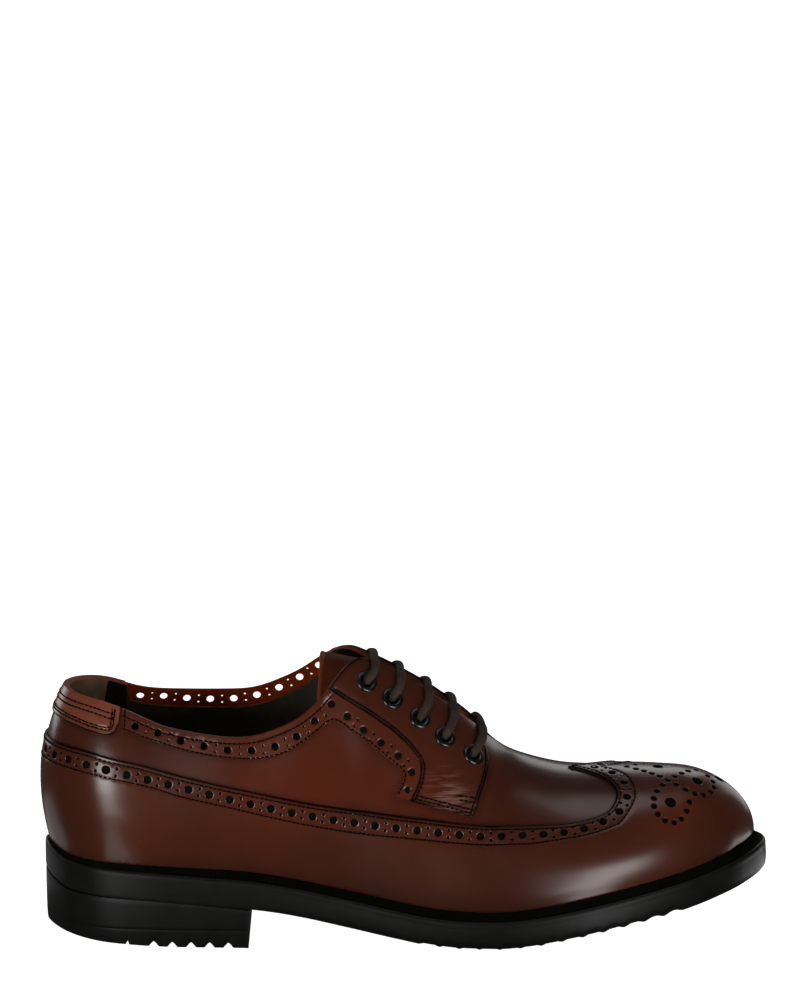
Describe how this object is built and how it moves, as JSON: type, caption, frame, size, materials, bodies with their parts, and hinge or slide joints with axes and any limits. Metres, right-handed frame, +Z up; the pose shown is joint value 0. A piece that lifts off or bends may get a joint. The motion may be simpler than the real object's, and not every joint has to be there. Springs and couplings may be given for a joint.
{
  "type": "derby brogue shoe",
  "caption": "Right long-wing derby brogue in dark brown leather with pierced bands, a laced throat and a black lugged rubber sole with a block heel.",
  "frame": {"origin": "middle of the footprint's box on the floor", "axes": "+X to the toe, +Y to the medial (inner) side, +Z up"},
  "size_m": [0.313, 0.1058, 0.1248],
  "materials": {
    "leather": "burnished smooth calf, waxed",
    "rubber": "satin moulded rubber",
    "welt": "satin, toothed top",
    "insole": "matt leather sock",
    "eyelet": "dark gunmetal",
    "lace": "waxed round braid"
  },
  "bodies": {
    "root": {"collar_trim_lateral": "leather", "collar_trim_medial": "leather", "eyelet_lateral_1": "eyelet", "eyelet_lateral_2": "eyelet", "eyelet_lateral_3": "eyelet", "eyelet_lateral_4": "eyelet", "eyelet_lateral_5": "eyelet", "eyelet_medial_1": "eyelet", "eyelet_medial_2": "eyelet", "eyelet_medial_3": "eyelet", "eyelet_medial_4": "eyelet", "eyelet_medial_5": "eyelet", "facing_lateral": "leather", "facing_medial": "leather", "heel_block": "rubber", "heel_tab": "leather", "insole": "insole", "lace_bar_1": "lace", "lace_bar_2": "lace", "lace_bar_3": "lace", "lace_bar_4": "lace", "lace_bar_5": "lace", "outsole": "rubber", "tongue": "leather", "top_lift": "rubber", "upper": "leather", "welt": "welt", "wing_cap": "leather"}
  },
  "joints": []
}
